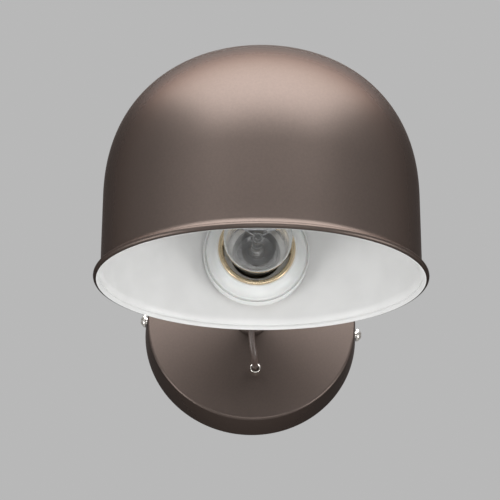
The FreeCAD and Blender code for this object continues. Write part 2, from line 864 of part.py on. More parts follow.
def bulb_filament():
    # two supports spread from the stem and carry a coiled bar, drawn as one round bar
    root = stem_front - support_sunk
    tip = stem_front + support_reach
    parts = []
    for side in (-1, 1):
        foot = Vector(side * support_root, -root, 0)
        knee = Vector(side * support_knee, -(root + support_knee_len), 0)
        head = Vector(side * support_x, -tip, 0)
        parts += [rod(foot, knee, support_r), Part.makeSphere(support_r, knee), rod(knee, head, support_r)]
    end = support_x + support_r
    parts.append(rod(Vector(-end, -tip, 0), Vector(end, -tip, 0), filament_r))
    body = parts[0]
    for part in parts[1:]:
        body = body.fuse(part)
    sleeve_r = stem_r + close_fit
    stem = turned([(stem_back, 0), (stem_tip + close_fit, 0), (stem_tip + close_fit, sleeve_r),
                   (stem_back, sleeve_r)])
    body = body.cut(stem)
    return in_head(Part.makeCompound(body.Solids))


def cord_eyelet():
    bore = cord_r + close_fit
    front = cup_depth + eyelet_stand
    back = face_inside - eyelet_barrel
    body = turned([(back, bore), (back, eyelet_barrel_r), (cup_depth, eyelet_barrel_r),
                   (cup_depth, eyelet_r), (front, eyelet_r), (front, bore)],
                  [0, 0, 0, 0, eyelet_edge_r, eyelet_edge_r / 2.0])
    return place(body, eyelet_x, 0, eyelet_z)


def eyelet_nut():
    nut = hexagon(eyelet_flat, face_inside - eyelet_nut_thick, face_inside, eyelet_barrel_r + close_fit)
    return place(nut, eyelet_x, 0, eyelet_z)


cord_end = head_point(0, cap_inside + gland_lip + cord_tail, -gland_drop)


def supply_cord():
    # out of the eyelet, up behind the shade and forward into the lampholder's cap
    exit_s = cup_depth + cord_exit
    low = Vector(cord_low_x, -(cup_depth + cord_low_s), eyelet_z + cord_low_rise)
    high = Vector(cord_high_x, -(cup_depth + cord_high_s), eyelet_z + cord_high_rise)
    mouth = head_point(0, cap_back - gland_lip - cord_lead_in, -gland_drop)
    return tube_along([Vector(eyelet_x, -cord_tail_s, eyelet_z), Vector(eyelet_x, -exit_s, eyelet_z),
                       low, high, mouth, cord_end], cord_r)


def cup_lead(index):
    # from the cord's end in the cup to a terminal; the second lead turns nearer the wall
    x = terminal_xs()[index]
    start_x = eyelet_x + (index - 0.5) * lead_pair
    turn_s = block_bore_s + lead_near - lead_step * index
    low = -block_width / 2.0
    route = [Vector(start_x, close_fit - cord_tail_s, eyelet_z), Vector(start_x, -turn_s, eyelet_z),
             Vector(x + lead_side, -turn_s, eyelet_z + lead_rise + lead_step * index)]
    route += [bracket_turned_point(x - lead_shift, block_bore_s, low - lead_slack),
              bracket_turned_point(x, block_bore_s, low + lead_grip)]
    return tube_along(route, lead_r)


def earth_lead():
    x = terminal_xs()[2]
    top = block_width / 2.0
    route = [Vector(x, -block_bore_s, top - earth_grip),
             Vector(x + lead_shift, -block_bore_s, top + earth_rise),
             Vector(x + earth_run, -block_bore_s, top + earth_high),
             Vector(earth_x - earth_back, -(sleeve_s + earth_lift), top + earth_top),
             Vector(earth_x, -sleeve_s, top + earth_turn), Vector(earth_x, -sleeve_s, sleeve_z + earth_grip)]
    return bracket_turned(tube_along(route, lead_r))


def holder_leads():
    # from the cord's end in the cap to the two screws behind the core
    leads = []
    near = holder_lead_pair / 2.0
    s = cap_inside + gland_lip + cord_tail + close_fit
    for side in (-1, 1):
        route = [(near, 0, -gland_drop), (near, holder_lead_out, -gland_drop),
                 (core_screw_x - holder_lead_in, holder_lead_side, holder_lead_rise - gland_drop),
                 (core_screw_x, holder_lead_near, -holder_lead_end)]
        leads.append(tube_along([head_point(side * x, s + ahead, z) for x, ahead, z in route], lead_r))
    return Part.makeCompound(leads)


pieces = {
    "wall_bracket": wall_bracket,
    "earth_screw": earth_screw,
    "earth_tag": earth_tag,
    "backplate_cup": backplate_cup,
    "side_screws": side_screws,
    "terminal_block": terminal_block,
    "terminal_screws": terminal_screws,
    "live_lead": lambda: cup_lead(0),
    "neutral_lead": lambda: cup_lead(1),
    "earth_lead": earth_lead,
    "cord_eyelet": cord_eyelet,
    "eyelet_nut": eyelet_nut,
    "supply_cord": supply_cord,
    "arm_nipple": arm_nipple,
    "arm_nut": arm_nut,
    "arm_lock_washer": arm_lock_washer,
    "arm_flange": arm_flange,
    "arm_tube": arm_tube,
    "knuckle_fork": knuckle_fork,
    "friction_washers": friction_washers,
    "knuckle_bolt": knuckle_bolt,
    "knuckle_nut": knuckle_nut,
    "knuckle_tongue": knuckle_tongue,
    "holder_nut": holder_nut,
    "lampholder_cap": lampholder_cap,
    "cord_gland": cord_gland,
    "holder_leads": holder_leads,
    "lampholder_skirt": lampholder_skirt,
    "insulating_core": insulating_core,
    "core_screws": core_screws,
    "screw_shell": screw_shell,
    "centre_contact": centre_contact,
    "shade": shade,
    "shade_ring": shade_ring,
    "bulb_glass": bulb_glass,
    "bulb_cap": bulb_cap,
    "bulb_insulator": bulb_insulator,
    "bulb_contact": bulb_contact,
    "bulb_stem": bulb_stem,
    "bulb_filament": bulb_filament,
}

os.makedirs("parts", exist_ok=True)
print("pivot", pivot)
for name, build in pieces.items():
    shape = build()
    print(name, "solids", len(shape.Solids), "volume", round(shape.Volume, 1), "valid", shape.isValid())
    shape.exportStep("parts/" + name + ".step")
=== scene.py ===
import json
import math
import bmesh
import bpy
import numpy as np
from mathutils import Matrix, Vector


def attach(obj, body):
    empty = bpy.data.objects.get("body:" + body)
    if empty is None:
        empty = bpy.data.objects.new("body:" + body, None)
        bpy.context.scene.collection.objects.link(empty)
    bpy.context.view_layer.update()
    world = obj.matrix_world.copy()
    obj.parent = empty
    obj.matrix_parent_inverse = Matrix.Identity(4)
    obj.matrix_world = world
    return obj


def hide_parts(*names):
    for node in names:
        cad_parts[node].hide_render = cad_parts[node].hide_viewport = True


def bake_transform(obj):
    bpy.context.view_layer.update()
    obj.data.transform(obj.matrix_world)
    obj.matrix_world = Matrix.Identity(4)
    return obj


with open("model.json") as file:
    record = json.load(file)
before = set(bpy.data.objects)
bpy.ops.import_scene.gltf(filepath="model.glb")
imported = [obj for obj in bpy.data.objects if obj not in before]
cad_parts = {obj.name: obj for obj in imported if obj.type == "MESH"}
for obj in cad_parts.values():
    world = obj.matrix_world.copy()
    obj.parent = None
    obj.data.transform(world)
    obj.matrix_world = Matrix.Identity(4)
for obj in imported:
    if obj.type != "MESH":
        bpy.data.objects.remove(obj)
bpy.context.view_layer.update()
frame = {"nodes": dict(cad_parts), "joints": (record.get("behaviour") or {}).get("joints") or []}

# Looks of the wall reading lamp, in metres: X right, Y into the wall, Z up.
# Depths run away from the wall. The head's pieces are worked out about the knuckle and lean forward a little.
pivot = np.array(frame["joints"][0]["pos_m"])
droop = math.radians(6.5)      # lean of the head at rest
armBend = math.radians(39)     # upward bend of the arm
print("frame loaded,", len(frame["nodes"]), "nodes")


# shapes that several pieces share

def leaned(vectors, angle=droop):
    # turn about X: y' = y cos - z sin, z' = y sin + z cos
    v = np.asarray(vectors, float)
    c, s = math.cos(angle), math.sin(angle)
    return np.stack([v[..., 0], v[..., 1] * c - v[..., 2] * s, v[..., 1] * s + v[..., 2] * c], -1)


def seat(origin, angle, upright=False):
    # where a turned piece stands: its axis points out from the wall, or up for an upright one
    out, up = ((0, 0, 1), (0, 1, 0)) if upright else ((0, -1, 0), (0, 0, 1))
    return {"origin": np.array(origin, float), "right": leaned((1, 0, 0), angle),
            "out": leaned(out, angle), "up": leaned(up, angle)}


def headPoint(x, depth, z):
    return pivot + leaned((x, -depth, z))


wallSeat = seat((0, 0, 0), 0)
headSeat = seat(pivot, droop)
weldGap = 2e-6      # points of a mesh closer than this become one


def arcPoints(centre, radius, start, end, count):
    # points of a circle: centre + radius (cos a, sin a), with a in degrees from start to end
    a = np.radians(np.linspace(start, end, count))
    return np.stack([centre[0] + radius * np.cos(a), centre[1] + radius * np.sin(a)], 1)


def rounded(corners, radii, steps=7, closed=True):
    # outline whose corners become arcs, each touching the two straight sides that meet there
    corners = np.array(corners, float)
    out = []
    for i, (corner, radius) in enumerate(zip(corners, radii)):
        if radius <= 0 or (not closed and i in (0, len(corners) - 1)):
            out.append(corner[None])
            continue
        back = corners[i - 1] - corner
        ahead = corners[(i + 1) % len(corners)] - corner
        back, ahead = back / np.linalg.norm(back), ahead / np.linalg.norm(ahead)
        half = math.acos(np.clip(back @ ahead, -1, 1)) / 2
        middle = corner + (back + ahead) / np.linalg.norm(back + ahead) * radius / math.sin(half)
        first = corner + back * radius / math.tan(half) - middle
        last = corner + ahead * radius / math.tan(half) - middle
        turn = math.pi - 2 * half
        t = np.linspace(0, 1, steps)[:, None]
        out.append(middle + (first * np.sin((1 - t) * turn) + last * np.sin(t * turn)) / math.sin(turn))
    return np.concatenate(out)


def gridFaces(rows, columns, rowsWrap):
    # quads between neighbouring rows; columns always close on themselves
    index = np.arange(rows * columns).reshape(rows, columns)
    low = index if rowsWrap else index[:-1]
    high = np.roll(index, -1, 0) if rowsWrap else index[1:]
    return np.stack([low, np.roll(low, -1, 1), np.roll(high, -1, 1), high], -1).reshape(-1, 4)


def meshPiece(name, points, faces, sharp=32):
    mesh = bpy.data.meshes.new(name)
    mesh.from_pydata(points.reshape(-1, 3), [], faces.tolist())
    work = bmesh.new()
    work.from_mesh(mesh)
    bmesh.ops.remove_doubles(work, verts=work.verts, dist=weldGap)
    bmesh.ops.recalc_face_normals(work, faces=work.faces)
    work.to_mesh(mesh)
    work.free()
    mesh.shade_smooth()
    mesh.set_sharp_from_angle(angle=math.radians(sharp))
    piece = bpy.data.objects.new(name, mesh)
    bpy.context.scene.collection.objects.link(piece)
    return piece


def spun(name, outline, place, count=128, closed=True, sharp=32):
    # surface of revolution: origin + r cos(t) right + r sin(t) up + depth out, over an (r, depth) outline
    outline = np.asarray(outline, float)
    t = np.linspace(0, 2 * math.pi, count, endpoint=False)
    r = outline[:, 0, None, None]
    around = np.cos(t)[None, :, None] * place["right"] + np.sin(t)[None, :, None] * place["up"]
    points = place["origin"] + r * around + outline[:, 1, None, None] * place["out"]
    return meshPiece(name, points, gridFaces(len(outline), count, closed), sharp)


def sweptTube(name, path, outline, sharp=40):
    # section carried along a path: path(u) + outline(t) in the plane across the path's direction
    path = np.asarray(path, float)
    along = np.gradient(path, axis=0)
    along /= np.linalg.norm(along, axis=1, keepdims=True)
    side = np.array([1.0, 0, 0]) - along[:, :1] * along
    side /= np.linalg.norm(side, axis=1, keepdims=True)
    rise = np.cross(along, side)
    loops = path[:, None] + outline[None, :, :1] * side[:, None] + outline[None, :, 1:] * rise[:, None]
    ends = np.stack([np.repeat(loops[i].mean(0)[None], len(outline), 0) for i in (0, -1)])
    points = np.concatenate([ends[:1], loops, ends[1:]])
    return meshPiece(name, points, gridFaces(len(points), len(outline), False), sharp)


def circle(radius, count):
    return arcPoints((0, 0), radius, 0, 360 - 360 / count, count)


def block(name, outline, place, start, end):
    # flat outline in the seat's right and up directions, carried from one depth to another
    flat = place["origin"] + outline[:, :1] * place["right"] + outline[:, 1:] * place["up"]
    layers = [flat.mean(0)[None].repeat(len(flat), 0), flat, flat, flat.mean(0)[None].repeat(len(flat), 0)]
    depths = (start, start, end, end)
    points = np.stack([layer + depth * place["out"] for layer, depth in zip(layers, depths)])
    return meshPiece(name, points, gridFaces(4, len(flat), False))


def cutBy(piece, cutters, sharp=32):
    # take the cutters' shapes out of a piece, and throw the cutters away
    for cutter in cutters:
        cut = piece.modifiers.new("cut", "BOOLEAN")
        cut.operation = "DIFFERENCE"
        cut.solver = "EXACT"
        cut.object = cutter
    bpy.context.view_layer.update()
    done = bpy.data.meshes.new_from_object(piece.evaluated_get(bpy.context.evaluated_depsgraph_get()))
    piece.modifiers.clear()
    piece.data = done
    done.set_sharp_from_angle(angle=math.radians(sharp))
    for cutter in cutters:
        bpy.data.objects.remove(cutter)
    return piece


def joined(name, pieces, sharp=32):
    # one piece from several closed shells
    work = bmesh.new()
    for piece in pieces:
        work.from_mesh(piece.data)
        bpy.data.objects.remove(piece)
    mesh = bpy.data.meshes.new(name)
    work.to_mesh(mesh)
    work.free()
    mesh.shade_smooth()
    mesh.set_sharp_from_angle(angle=math.radians(sharp))
    piece = bpy.data.objects.new(name, mesh)
    bpy.context.scene.collection.objects.link(piece)
    return piece


# finishes; texture scales are per metre and grain heights in metres

noiseSpan = (0.3, 0.7)      # nearly all of a noise texture's values lie between these
texture = {"patchDetail": 4, "patchStops": (0.35, 0.65), "wanderScale": 2.3, "wanderDetail": 3,
           "grainDetail": 2}


def newMaterial(name):
    material = bpy.data.materials.new(name)
    material.use_nodes = True
    tree = material.node_tree
    return material, tree.nodes, tree.links, tree.nodes["Principled BSDF"]


def noiseNode(nodes, links, scale, detail=3.0, stretch=(1, 1, 1)):
    place = nodes.new("ShaderNodeTexCoord")
    turn = nodes.new("ShaderNodeMapping")
    turn.inputs["Scale"].default_value = stretch
    noise = nodes.new("ShaderNodeTexNoise")
    noise.inputs["Scale"].default_value = scale
    noise.inputs["Detail"].default_value = detail
    links.new(place.outputs["Object"], turn.inputs["Vector"])
    links.new(turn.outputs["Vector"], noise.inputs["Vector"])
    return noise.outputs["Fac"]


def rampNode(nodes, links, source, stops):
    # the two stops are each a position and a colour
    ramp = nodes.new("ShaderNodeValToRGB")
    for element, (position, colour) in zip(ramp.color_ramp.elements, stops):
        element.position = position
        element.color = (*colour, 1)
    links.new(source, ramp.inputs["Fac"])
    return ramp.outputs["Color"]


def rangeNode(nodes, links, source, low, high):
    scaled = nodes.new("ShaderNodeMapRange")
    scaled.inputs["From Min"].default_value = noiseSpan[0]
    scaled.inputs["From Max"].default_value = noiseSpan[1]
    scaled.inputs["To Min"].default_value = low
    scaled.inputs["To Max"].default_value = high
    links.new(source, scaled.inputs["Value"])
    return scaled.outputs["Result"]


def bumpNode(nodes, links, source, height, shader):
    bump = nodes.new("ShaderNodeBump")
    bump.inputs["Strength"].default_value = 1.0
    bump.inputs["Distance"].default_value = height
    links.new(source, bump.inputs["Height"])
    links.new(bump.outputs["Normal"], shader.inputs["Normal"])


def surface(name, user):
    # two tones in patches, a roughness that wanders, and a fine grain in relief
    material, nodes, links, shader = newMaterial(name)
    stretch = user.get("stretch", (1, 1, 1))
    low, high = texture["patchStops"]
    patch = noiseNode(nodes, links, user["patchScale"], texture["patchDetail"], stretch)
    links.new(rampNode(nodes, links, patch, [(low, user["dark"]), (high, user["light"])]),
              shader.inputs["Base Color"])
    wanderScale = user["patchScale"] * texture["wanderScale"]
    wander = noiseNode(nodes, links, wanderScale, texture["wanderDetail"], stretch)
    links.new(rangeNode(nodes, links, wander, *user["rough"]), shader.inputs["Roughness"])
    grain = noiseNode(nodes, links, user["grainScale"], texture["grainDetail"], stretch)
    bumpNode(nodes, links, grain, user["grainHeight"], shader)
    for socket in ("Metallic", "Coat Weight", "Coat Roughness", "Transmission Weight", "IOR",
                   "Subsurface Weight", "Specular Tint"):
        if socket in user:
            shader.inputs[socket].default_value = user[socket]
    return material


finishes = {
    "bronzePaint": {"dark": (0.110, 0.087, 0.077), "light": (0.118, 0.093, 0.082), "patchScale": 900,
                    "rough": (0.37, 0.43), "grainScale": 2600, "grainHeight": 0.000006, "Metallic": 0.9,
                    "Specular Tint": (0.12, 0.10, 0.095, 1)},
    "whitePaint": {"dark": (0.80, 0.80, 0.795), "light": (0.84, 0.84, 0.835), "patchScale": 60,
                   "rough": (0.42, 0.52), "grainScale": 1800, "grainHeight": 0.00001, "Coat Weight": 0.1,
                   "Coat Roughness": 0.3},
    "ringPlastic": {"dark": (0.78, 0.78, 0.77), "light": (0.82, 0.82, 0.81), "patchScale": 90,
                    "rough": (0.30, 0.38), "grainScale": 3000, "grainHeight": 0.000005,
                    "Subsurface Weight": 0.05},
    "polishedBrass": {"dark": (0.68, 0.55, 0.37), "light": (0.76, 0.62, 0.43), "patchScale": 70,
                      "rough": (0.24, 0.29), "grainScale": 2200, "grainHeight": 0.000002, "Metallic": 1.0},
    # brass painted nearly black: painted shade for the dark middle seen through the bulb, not an aged finish
    "brassPaintedShade": {"dark": (0.05, 0.04, 0.027), "light": (0.09, 0.07, 0.045), "patchScale": 260,
                  "rough": (0.34, 0.48), "grainScale": 1400, "grainHeight": 0.00001, "Metallic": 1.0},
    "screwNickel": {"dark": (0.62, 0.59, 0.55), "light": (0.76, 0.73, 0.70), "patchScale": 500,
                    "rough": (0.12, 0.24), "grainScale": 3500, "grainHeight": 0.000004, "Metallic": 1.0},
    "zincSteel": {"dark": (0.46, 0.46, 0.44), "light": (0.60, 0.60, 0.58), "patchScale": 160,
                  "rough": (0.30, 0.46), "grainScale": 900, "grainHeight": 0.00001, "Metallic": 1.0,
                  "stretch": (1, 1, 0.15)},
    "tinnedMetal": {"dark": (0.50, 0.50, 0.50), "light": (0.66, 0.66, 0.66), "patchScale": 700,
                    "rough": (0.30, 0.45), "grainScale": 1500, "grainHeight": 0.00001, "Metallic": 1.0},
    "terminalPlastic": {"dark": (0.70, 0.70, 0.67), "light": (0.78, 0.78, 0.75), "patchScale": 250,
                        "rough": (0.45, 0.55), "grainScale": 2500, "grainHeight": 0.000008},
    "glazedPorcelain": {"dark": (0.78, 0.76, 0.70), "light": (0.86, 0.84, 0.79), "patchScale": 120,
                        "rough": (0.10, 0.20), "grainScale": 500, "grainHeight": 0.00001,
                        "Coat Weight": 0.5},
    "blackGlass": {"dark": (0.010, 0.010, 0.013), "light": (0.020, 0.020, 0.024), "patchScale": 400,
                   "rough": (0.06, 0.12), "grainScale": 900, "grainHeight": 0.000006},
    "cordSheath": {"dark": (0.072, 0.052, 0.045), "light": (0.090, 0.066, 0.057), "patchScale": 500,
                   "rough": (0.26, 0.33), "grainScale": 2600, "grainHeight": 0.000004},
    "brownSheath": {"dark": (0.075, 0.030, 0.012), "light": (0.110, 0.045, 0.018), "patchScale": 500,
                    "rough": (0.38, 0.50), "grainScale": 2600, "grainHeight": 0.00001},
    "blueSheath": {"dark": (0.015, 0.045, 0.22), "light": (0.022, 0.065, 0.30), "patchScale": 500,
                   "rough": (0.38, 0.50), "grainScale": 2600, "grainHeight": 0.00001},
    "glandRubber": {"dark": (0.012, 0.012, 0.012), "light": (0.022, 0.022, 0.022), "patchScale": 600,
                    "rough": (0.60, 0.75), "grainScale": 2400, "grainHeight": 0.00002},
    "washerFibre": {"dark": (0.20, 0.15, 0.10), "light": (0.32, 0.26, 0.18), "patchScale": 1400,
                    "rough": (0.75, 0.90), "grainScale": 3000, "grainHeight": 0.00003},
    "filamentWire": {"dark": (0.30, 0.30, 0.31), "light": (0.48, 0.48, 0.50), "patchScale": 1500,
                     "rough": (0.28, 0.40), "grainScale": 6000, "grainHeight": 0.00001, "Metallic": 1.0},
    "clearGlass": {"dark": (0.97, 0.98, 0.98), "light": (1.0, 1.0, 1.0), "patchScale": 40,
                   "rough": (0.0, 0.012), "grainScale": 60, "grainHeight": 0.00002,
                   "Transmission Weight": 1.0, "IOR": 1.5},
}
materials = {name: surface(name, user) for name, user in finishes.items()}


stripe = {"scale": 260, "waver": 0.6, "green": (0.45, (0.04, 0.22, 0.05)),
          "yellow": (0.55, (0.75, 0.60, 0.05)), "grainScale": 2400, "rough": (0.38, 0.5)}


def stripedSheath():
    # green insulation with thin yellow stripes, which follow one another along X
    material, nodes, links, shader = newMaterial("earthSheath")
    place = nodes.new("ShaderNodeTexCoord")
    wave = nodes.new("ShaderNodeTexWave")
    wave.inputs["Scale"].default_value = stripe["scale"]
    wave.inputs["Distortion"].default_value = stripe["waver"]
    links.new(place.outputs["Object"], wave.inputs["Vector"])
    links.new(rampNode(nodes, links, wave.outputs["Fac"], [stripe["green"], stripe["yellow"]]),
              shader.inputs["Base Color"])
    grain = noiseNode(nodes, links, stripe["grainScale"])
    links.new(rangeNode(nodes, links, grain, *stripe["rough"]), shader.inputs["Roughness"])
    return material


materials["earthSheath"] = stripedSheath()
print("finishes made")


def finished(piece, body, material, slot, *nodes):
    # a new piece gets its finish and the body that it moves with, and the imported pieces that it stands for
    # are hidden
    piece.data.materials.clear()
    piece.data.materials.append(materials[material])
    if body:
        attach(piece, body)
    if nodes:
        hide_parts(*nodes)
    return piece


# camera, floor and light

view = {"place": (-0.0268, -0.840, -0.3469), "pan": 0.032, "tilt": 0.447, "roll": -0.001,
        "focusPixels": 1535.5, "widthPixels": 500, "sensor": 36, "near": 0.01, "far": 50}


def makeCamera():
    data = bpy.data.cameras.new("camera")
    data.sensor_width = view["sensor"]
    data.lens = view["focusPixels"] / view["widthPixels"] * view["sensor"]
    data.clip_start, data.clip_end = view["near"], view["far"]
    camera = bpy.data.objects.new("camera", data)
    camera.location = view["place"]
    camera.rotation_mode = "XYZ"
    camera.rotation_euler = (math.pi / 2 + view["tilt"], view["roll"], -view["pan"])
    bpy.context.scene.collection.objects.link(camera)
    bpy.context.scene.camera = camera


room = {"floorDrop": 3.2, "floorReach": 45.0, "pale": (0.72, 0.72, 0.71), "grainScale": 180,
        "grainDark": 0.98, "grainStops": (0.3, 0.7), "rough": 0.9, "sky": 0.48}


def makeFloor():
    # one pale sheet well below the lamp; from underneath it isn't there
    reach, drop = room["floorReach"], -room["floorDrop"]
    corners = [(x * reach, y * reach, drop) for x, y in ((-1, -1), (1, -1), (1, 1), (-1, 1))]
    mesh = bpy.data.meshes.new("floor")
    mesh.from_pydata(corners, [], [(0, 1, 2, 3)])
    material, nodes, links, shader = newMaterial("floorPaint")
    grain = noiseNode(nodes, links, room["grainScale"])
    dark = tuple(c * room["grainDark"] for c in room["pale"])
    low, high = room["grainStops"]
    links.new(rampNode(nodes, links, grain, [(low, dark), (high, room["pale"])]),
              shader.inputs["Base Color"])
    shader.inputs["Roughness"].default_value = room["rough"]
    sides = nodes.new("ShaderNodeNewGeometry")
    clear = nodes.new("ShaderNodeBsdfTransparent")
    mix = nodes.new("ShaderNodeMixShader")
    links.new(sides.outputs["Backfacing"], mix.inputs["Fac"])
    links.new(shader.outputs["BSDF"], mix.inputs[1])
    links.new(clear.outputs["BSDF"], mix.inputs[2])
    links.new(mix.outputs["Shader"], nodes["Material Output"].inputs["Surface"])
    mesh.materials.append(material)
    floor = bpy.data.objects.new("floor", mesh)
    bpy.context.scene.collection.objects.link(floor)


# sizes in metres; a lamp's radiance is its watts over pi times its area
lamps = {
    "topLight": {"place": (0.05, -0.47, 1.02), "aim": (0.05, -0.30, 0.05), "size": (2.0, 2.3), "watts": 86},
    "frontLight": {"place": (-1.3, -1.3, 0.2), "aim": (0, -0.1, 0), "size": (1.2, 1.2), "watts": 2},
    "lowLeft": {"place": (-0.85, -0.30, -0.50), "aim": (0, -0.17, 0.0), "size": (0.5, 0.5), "watts": 4.1},
    "lowRight": {"place": (0.85, -0.30, -0.50), "aim": (0, -0.17, 0.0), "size": (0.5, 0.5), "watts": 4.1},
    "lowFront": {"place": (0.1, -1.05, -0.55), "aim": (0, -0.10, 0.02), "size": (0.7, 0.5), "watts": 2.6},
}


def makeLight():
    for name, user in lamps.items():
        data = bpy.data.lights.new(name, "AREA")
        data.shape = "RECTANGLE"
        data.size, data.size_y = user["size"]
        data.energy = user["watts"]
        lamp = bpy.data.objects.new(name, data)
        lamp.location = user["place"]
        away = Vector(user["place"]) - Vector(user["aim"])
        lamp.rotation_euler = away.to_track_quat("Z", "Y").to_euler()
        bpy.context.scene.collection.objects.link(lamp)
    world = bpy.data.worlds.new("studio")
    world.use_nodes = True
    bpy.context.scene.world = world
    # one pale sky all round is both the backdrop and the fill light
    world.node_tree.nodes["Background"].inputs["Strength"].default_value = room["sky"]
    world.node_tree.nodes["Background"].inputs["Color"].default_value = (1, 1, 1, 1)


makeCamera()
makeFloor()
makeLight()
bpy.context.scene.view_settings.view_transform = "Standard"
print("camera, room and light set")


# shade; its outlines are (radius, height), with the height along the shade's own upright axis

shade = {"reach": 0.116, "drop": 0.0396, "radius": 0.078, "straight": 0.0418, "domeHeight": 0.075,
         "domePower": 2.29, "sheet": 0.001, "flareRadius": 0.005, "flareTop": 0.0064, "flareAngle": 55,
         "beadRadius": 0.0015, "beadOverlap": 3, "lipRadius": 0.0814, "lipBottom": 0.0004, "coat": 0.00012,
         "coatEnd": 268, "coatRoot": 0.5, "coatRootBead": 0.6, "holeRadius": 0.0209, "holeBack": 0.030,
         "holeFront": 0.046, "sides": 224, "holeSides": 96, "domeSteps": 61, "wallSteps": 4,
         "flareSteps": 14, "beadSteps": 17, "shellSharp": 40, "coatSharp": 60}
shadeSeat = seat(headPoint(0, shade["reach"], -shade["drop"]), droop, upright=True)
beadCentre = np.array([shade["lipRadius"] - shade["beadRadius"], shade["lipBottom"] + shade["beadRadius"]])


def shadeSide(inset, beadRadius):
    # from the crown: superellipse dome, straight wall, then an arc that flares out as far as the bead
    a = np.radians(np.linspace(90, 0, shade["domeSteps"]))
    wide, tall, power = shade["radius"] - inset, shade["domeHeight"] - inset, shade["domePower"]
    far = ((np.abs(np.cos(a)) / wide) ** power + (np.sin(a) / tall) ** power) ** (-1 / power)
    dome = np.stack([far * np.cos(a), shade["straight"] + far * np.sin(a)], 1)
    dome[0, 0] = 0
    steps = shade["wallSteps"]
    heights = np.linspace(shade["straight"], shade["flareTop"], steps + 2)[1:-1]
    wall = np.stack([np.full(steps, wide), heights], 1)
    centre = (shade["radius"] + shade["flareRadius"], shade["flareTop"])
    flare = arcPoints(centre, shade["flareRadius"] + inset, 180, 180 + shade["flareAngle"],
                      shade["flareSteps"])
    flare = flare[np.linalg.norm(flare - beadCentre, axis=1) > beadRadius]
    return np.concatenate([dome, wall, flare])


def beadArc(start, end, beadRadius):
    # round the rolled edge, from one angle to another
    return arcPoints(beadCentre, beadRadius, start, end, shade["beadSteps"])


def angleAt(point):
    return math.degrees(math.atan2(point[1] - beadCentre[1], point[0] - beadCentre[0]))


def cutHolderHole(piece, sharp):
    # the round hole that the lampholder passes through
    r, back, front = shade["holeRadius"], shade["holeBack"], shade["holeFront"]
    cutter = spun("holeCutter", [(0, back), (r, back), (r, front), (0, front)], headSeat,
                  shade["holeSides"], closed=False)
    cutBy(piece, [cutter], sharp=sharp)


def makeShade():
    outer = shadeSide(0, shade["beadRadius"])
    inner = shadeSide(shade["sheet"], shade["beadRadius"])
    overlap = shade["beadOverlap"]
    bead = beadArc(angleAt(outer[-1]) - overlap, angleAt(inner[-1]) % 360 - (360 - overlap),
                   shade["beadRadius"])
    shell = spun("shadeShell", np.concatenate([outer, bead, inner[::-1]]), shadeSeat, shade["sides"],
                 closed=False, sharp=shade["shellSharp"])
    cutHolderHole(shell, shade["shellSharp"])
    finished(shell, "lamp_head", "bronzePaint", "bronze_paint", "shade")
    # the white coat: over the inside, round the roll to its lowest line
    parts = []
    for inset, radius in ((shade["sheet"] + shade["coat"], shade["beadRadius"] + shade["coat"] / 2),
                          (shade["sheet"] * shade["coatRoot"], shade["beadRadius"] * shade["coatRootBead"])):
        side = shadeSide(inset, radius)
        parts.append(np.concatenate([side, beadArc(angleAt(side[-1]) % 360, shade["coatEnd"], radius)]))
    lining = spun("shadeLining", np.concatenate([parts[0], parts[1][::-1]]), shadeSeat, shade["sides"],
                  closed=False, sharp=shade["coatSharp"])
    cutHolderHole(lining, shade["coatSharp"])
    finished(lining, "lamp_head", "whitePaint", "white_paint")


makeShade()
print("shade made")


# lampholder; from here on outlines are (radius, depth), with the depth along the piece's own axis

cap = {"back": 0.0115, "front": 0.0355, "radius": 0.02185, "wall": 0.0012, "corner": 0.004, "edge": 0.0003,
       "stubRadius": 0.0052, "glandDrop": 0.0132, "glandRadius": 0.00285, "glandDepth": 0.02, "sides": 144,
       "glandSides": 48, "steps": 9}


def makeCap():
    back, front, wide, wall = (cap[k] for k in ("back", "front", "radius", "wall"))
    corner, edge, stub = cap["corner"], cap["edge"], cap["stubRadius"]
    outline = rounded([(stub, back), (wide, back), (wide, front), (wide - wall, front),
                       (wide - wall, back + wall), (stub, back + wall)],
                      [edge, corner, edge, edge, corner - wall, 0], cap["steps"])
    piece = spun("lampholderCap", outline, headSeat, cap["sides"])
    r, deep = cap["glandRadius"], cap["glandDepth"]
    hole = spun("glandCutter", [(0, 0), (r, 0), (r, deep), (0, deep)],
                seat(headPoint(0, 0, -cap["glandDrop"]), droop), cap["glandSides"], closed=False)
    finished(cutBy(piece, [hole]), "lamp_head", "bronzePaint", "bronze_paint", "lampholder_cap")


skirt = {"back": 0.030, "radius": 0.0205, "bore": 0.0179, "rim": 0.05786, "shoulder": 0.0235,
         "shoulderFront": 0.03795, "shoulderEdges": [0, 0.0003, 0, 0.0004, 0.0005, 0], "shoulderSteps": 5,
         "rimOutside": 0.006, "rimInside": 0.002, "rimEdges": [0, 0.0008, 0.0017, 0], "rimSteps": 9,
         "ridgeStart": 0.0021, "ridgeEnd": 0.0099, "ridgeDepth": 0.0006, "ridgePitch": 0.0018,
         "ridgeSteps": 60, "threadStart": 0.0006, "threadEnd": 0.0066, "threadDepth": 0.0004,
         "threadTurns": 9, "threadSteps": 70, "sides": 160, "sharp": 50}


